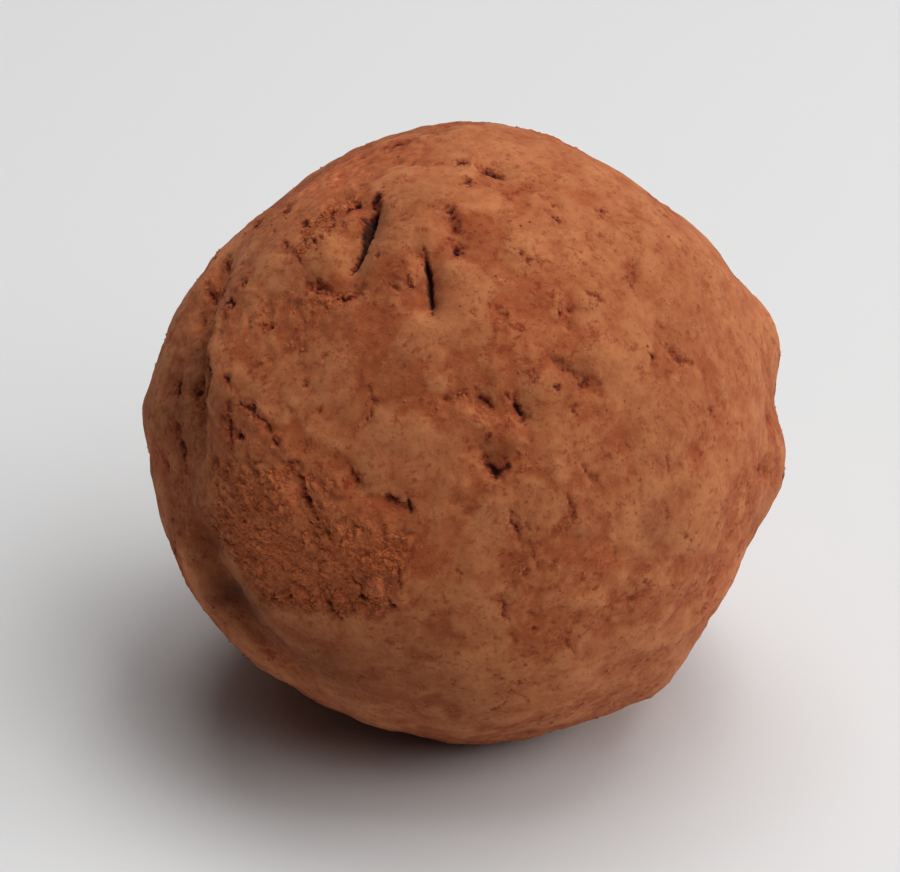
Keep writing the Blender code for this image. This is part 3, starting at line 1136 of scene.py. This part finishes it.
def crumb_shapes(name, count, fineness):
    """A hidden collection of broken crumbs, each about 1 across."""
    shapes = bpy.data.collections.new(name)
    for number in range(count):
        crumb = bmesh.new()
        bmesh.ops.create_icosphere(crumb, subdivisions=fineness, radius=0.5)
        for vertex in crumb.verts:
            place = vertex.co * 3.0 + Vector((7.0 * number, 0, 0))
            vertex.co *= 1 + 0.50 * noise.fractal(place, 0.8, 2.0, 3)
            vertex.co.x *= 1.15
            vertex.co.z *= 0.90
        mesh = bpy.data.meshes.new(f"{name}_{number}")
        crumb.to_mesh(mesh)
        crumb.free()
        shapes.objects.link(bpy.data.objects.new(mesh.name, mesh))
    return shapes


class Scatter:
    """A geometry node tree that sets crumbs on a skin and makes them real."""

    def __init__(self, name):
        self.tree = bpy.data.node_groups.new(name, "GeometryNodeTree")
        self.tree.interface.new_socket("Geometry", in_out="INPUT", socket_type="NodeSocketGeometry")
        self.tree.interface.new_socket("Geometry", in_out="OUTPUT", socket_type="NodeSocketGeometry")

    def add(self, kind, settings=(), **inputs):
        node = self.tree.nodes.new(kind)
        for name, value in dict(settings).items():
            setattr(node, name, value)
        for name, value in inputs.items():
            self.put(node, name.replace("_", " "), value)
        return node

    def put(self, node, name, value):
        """Links a node or an output to the enabled input of this name, or sets its value."""
        socket = next(socket for socket in node.inputs if socket.name == name and socket.enabled)
        if isinstance(value, bpy.types.Node):
            value = next(output for output in value.outputs if output.enabled)
        if isinstance(value, bpy.types.NodeSocket):
            self.tree.links.new(value, socket)
        else:
            socket.default_value = value

    def random(self, low, high, seed):
        return self.add("FunctionNodeRandomValue", {"data_type": "FLOAT"}, Min=low, Max=high, Seed=seed)

    def math(self, operation, *values):
        node = self.add("ShaderNodeMath", {"operation": operation})
        for socket, value in zip(node.inputs, values):
            if isinstance(value, bpy.types.Node):
                output = next(output for output in value.outputs if output.enabled)
                self.tree.links.new(output, socket)
            else:
                socket.default_value = value
        return node

    def build(self, shapes, material, where, density, size, small, sunk, seed):
        """Crumbs where this attribute of the skin is high, most of them near the small share of size."""
        amount = self.add("GeometryNodeInputNamedAttribute", {"data_type": "FLOAT"}, Name=where)
        spots = self.add(
            "GeometryNodeDistributePointsOnFaces",
            Mesh=self.add("NodeGroupInput").outputs[0],
            Density=self.math("MULTIPLY", amount, density),
            Seed=seed,
        )
        share = self.math("POWER", self.random(0, 1, seed + 1), 2.5)
        scale = self.math("MULTIPLY_ADD", share, size * (1 - small), size * small)
        inwards = self.add("ShaderNodeVectorMath", {"operation": "SCALE"}, Vector=spots.outputs["Normal"])
        self.put(inwards, "Scale", self.math("MULTIPLY", scale, -sunk))
        bedded = self.add("GeometryNodeSetPosition", Geometry=spots, Offset=inwards)
        turn = self.add(
            "FunctionNodeRandomValue",
            {"data_type": "FLOAT_VECTOR"},
            Max=(2 * math.pi,) * 3,
            Seed=seed + 2,
        )
        crumbs = self.add(
            "GeometryNodeInstanceOnPoints",
            Points=bedded,
            Instance=self.add(
                "GeometryNodeCollectionInfo",
                Collection=shapes,
                Separate_Children=True,
                Reset_Children=True,
            ),
            Pick_Instance=True,
            Rotation=turn,
            Scale=scale,
        )
        toned = self.add(
            "GeometryNodeStoreNamedAttribute",
            {"data_type": "FLOAT", "domain": "INSTANCE"},
            Geometry=crumbs,
            Name="tone",
            Value=self.random(0, 1, seed + 3),
        )
        real = self.add("GeometryNodeRealizeInstances", Geometry=toned)
        done = self.add("GeometryNodeSetMaterial", Geometry=real, Material=material)
        self.add("NodeGroupOutput", Geometry=done)
        return self.tree


def scatter_on(skin, name, tree, shapes):
    """Runs the tree on the skin and keeps its crumbs as one plain mesh, none of them under the base."""
    carrier = bpy.data.objects.new(f"{name}_carrier", skin.data.copy())
    bpy.context.collection.objects.link(carrier)
    carrier.modifiers.new("scatter", "NODES").node_group = tree
    graph = bpy.context.evaluated_depsgraph_get()
    mesh = bpy.data.meshes.new_from_object(carrier.evaluated_get(graph))
    mesh.name = name
    places = coordinates(mesh)
    places[:, 2] = np.maximum(places[:, 2], 0)
    mesh.vertices.foreach_set("co", places.ravel())
    bpy.data.objects.remove(carrier)
    for shape in list(shapes.objects):
        bpy.data.objects.remove(shape)
    bpy.data.collections.remove(shapes)
    bpy.data.node_groups.remove(tree)
    piece = bpy.data.objects.new(name, mesh)
    bpy.context.collection.objects.link(piece)
    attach(piece, BODY)
    return piece


def scatter_kind(skin, material, kind, shapes, count, **how):
    """Sets about this many crumbs of one kind on the skin, as thickly as its attribute of that name says."""
    density = count / attribute_total(skin.data, kind)
    tree = Scatter(f"scatter_{kind}").build(shapes, material, where=kind, density=density, **how)
    return scatter_on(skin, f"cocoa_{kind}", tree, shapes)


def attribute_total(mesh, name):
    """The attribute added up over the mesh's area."""
    values = np.empty(len(mesh.vertices))
    mesh.attributes[name].data.foreach_get("value", values)
    corners = np.empty(len(mesh.polygons) * 3, int)
    mesh.polygons.foreach_get("vertices", corners)
    areas = np.empty(len(mesh.polygons))
    mesh.polygons.foreach_get("area", areas)
    return float((values[corners.reshape(-1, 3)].mean(axis=1) * areas).sum())


# ---- stage --------------------------------------------------------------------------------------

# Soft lights, as (name, azimuth, elevation, watts). Azimuth 0 is the camera's side and 90 is +X.
LIGHTS = (
    ("overhead", 90, 70, 0.85),
    ("side", 90, 20, 0.70),
    ("back", 180, 70, 0.66),
    ("front", 45, 45, 0.55),
    ("left", 270, 70, 0.08),
)
LIGHT_DISTANCE = 500 * MM
LIGHT_WIDTH = 280 * MM
FLOOR_WIDTH = 4000 * MM
LENS_MM = 150
AIM = Vector((-0.68, -0.27, 13.6)) * MM  # the point in the middle of the view
BACKDROP = 0.90
BACKDROP_STRENGTH = 0.03
NEAREST_SEEN = 10 * MM
FARTHEST_SEEN = 10000 * MM


def round_the_truffle(azimuth, elevation):
    """The direction from the truffle towards this azimuth and elevation, in degrees."""
    turn, rise = math.radians(azimuth), math.radians(elevation)
    return Vector((math.sin(turn) * math.cos(rise), -math.cos(turn) * math.cos(rise), math.sin(rise)))


def make_floor(settings):
    mesh = bmesh.new()
    bmesh.ops.create_grid(mesh, x_segments=1, y_segments=1, size=FLOOR_WIDTH / 2)
    floor = bpy.data.objects.new("floor", bpy.data.meshes.new("floor"))
    mesh.to_mesh(floor.data)
    mesh.free()
    material = bpy.data.materials.new("pale_floor")
    material.use_nodes = True
    shader = material.node_tree.nodes["Principled BSDF"]
    shader.inputs["Base Color"].default_value = (*settings.floor_colour, 1)
    shader.inputs["Roughness"].default_value = 0.9
    shader.inputs["Specular IOR Level"].default_value = 0.1
    floor.data.materials.append(material)
    bpy.context.collection.objects.link(floor)
    floor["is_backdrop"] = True


def make_lights(settings):
    for name, azimuth, elevation, watts in LIGHTS:
        light = bpy.data.lights.new(f"{name}_light", "AREA")
        light.size = LIGHT_WIDTH
        light.energy = watts * settings.light
        lamp = bpy.data.objects.new(light.name, light)
        way = round_the_truffle(azimuth, elevation)
        lamp.location = HEART + way * LIGHT_DISTANCE
        lamp.rotation_euler = (-way).to_track_quat("-Z", "Y").to_euler()
        lamp.visible_camera = False
        bpy.context.collection.objects.link(lamp)


def make_world():
    world = bpy.data.worlds.new("studio")
    world.use_nodes = True
    background = world.node_tree.nodes["Background"]
    background.inputs["Color"].default_value = (BACKDROP, BACKDROP, BACKDROP, 1)
    background.inputs["Strength"].default_value = BACKDROP_STRENGTH
    bpy.context.scene.world = world


def make_camera(settings):
    camera = bpy.data.cameras.new("camera")
    camera.lens = LENS_MM
    camera.clip_start = NEAREST_SEEN
    camera.clip_end = FARTHEST_SEEN
    holder = bpy.data.objects.new("camera", camera)
    holder.location = AIM + OUTWARD * settings.camera_distance
    holder.rotation_euler = (-OUTWARD).to_track_quat("-Z", "Y").to_euler()
    bpy.context.collection.objects.link(holder)
    bpy.context.scene.camera = holder
    bpy.context.scene.view_settings.view_transform = "Standard"


# ---- operators and panel -------------------------------------------------------------------


class TRUFFLE_OT_skin(bpy.types.Operator):
    """Models the cocoa-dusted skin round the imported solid"""

    bl_idname = "truffle.skin"
    bl_label = "Cocoa Skin"

    def execute(self, context):
        make_skin(context.scene.truffle_skin)
        return {"FINISHED"}


class TRUFFLE_OT_grains(bpy.types.Operator):
    """Sets loose cocoa grains on the skin"""

    bl_idname = "truffle.grains"
    bl_label = "Cocoa Grains"

    def execute(self, context):
        skin = bpy.data.objects["cocoa_skin"]
        settings = context.scene.truffle_grains
        material = grain_material(context.scene.truffle_skin)
        grains = crumb_shapes("grain_shape", GRAIN_SHAPES, fineness=1)
        how = {"size": settings.grain_size, "small": 0.35, "sunk": 0.1, "seed": 11}
        scatter_kind(skin, material, "grains", grains, settings.grain_count, **how)
        crumbs = crumb_shapes("crumb_shape", CRUMB_SHAPES, fineness=2)
        how = {"size": settings.crumb_size, "small": 0.40, "sunk": 0.35, "seed": 23}
        scatter_kind(skin, material, "crumbs", crumbs, settings.crumb_count, **how)
        return {"FINISHED"}


class TRUFFLE_OT_stage(bpy.types.Operator):
    """Sets up the floor, the lights and the camera"""

    bl_idname = "truffle.stage"
    bl_label = "Stage"

    def execute(self, context):
        settings = context.scene.truffle_stage
        make_floor(settings)
        make_lights(settings)
        make_world()
        make_camera(settings)
        return {"FINISHED"}


class TRUFFLE_PT_panel(bpy.types.Panel):
    """Lists the truffle's pieces and their settings"""

    bl_idname = "TRUFFLE_PT_panel"
    bl_label = "Truffle"
    bl_space_type = "VIEW_3D"
    bl_region_type = "UI"
    bl_category = "Truffle"

    def draw(self, context):
        groups = (
            (TRUFFLE_OT_skin, context.scene.truffle_skin),
            (TRUFFLE_OT_grains, context.scene.truffle_grains),
            (TRUFFLE_OT_stage, context.scene.truffle_stage),
        )
        for operator, settings in groups:
            box = self.layout.box()
            box.operator(operator.bl_idname)
            for name in settings.__annotations__:
                box.prop(settings, name)


CLASSES = (
    SkinSettings,
    GrainSettings,
    StageSettings,
    TRUFFLE_OT_skin,
    TRUFFLE_OT_grains,
    TRUFFLE_OT_stage,
    TRUFFLE_PT_panel,
)


def register():
    for item in CLASSES:
        bpy.utils.register_class(item)
    bpy.types.Scene.truffle_skin = bpy.props.PointerProperty(type=SkinSettings)
    bpy.types.Scene.truffle_grains = bpy.props.PointerProperty(type=GrainSettings)
    bpy.types.Scene.truffle_stage = bpy.props.PointerProperty(type=StageSettings)


def unregister():
    del bpy.types.Scene.truffle_stage
    del bpy.types.Scene.truffle_grains
    del bpy.types.Scene.truffle_skin
    for item in reversed(CLASSES):
        bpy.utils.unregister_class(item)


def write_sizes():
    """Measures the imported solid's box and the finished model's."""
    boxes = {"cad": SOLID_BOX, "visual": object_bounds()}
    sizes = {name: [list(corner) for corner in box] for name, box in boxes.items()}


def main():
    register()
    bpy.ops.truffle.stage()
    bpy.ops.truffle.skin()
    bpy.ops.truffle.grains()
    write_sizes()


if __name__ == "__main__":
    main()
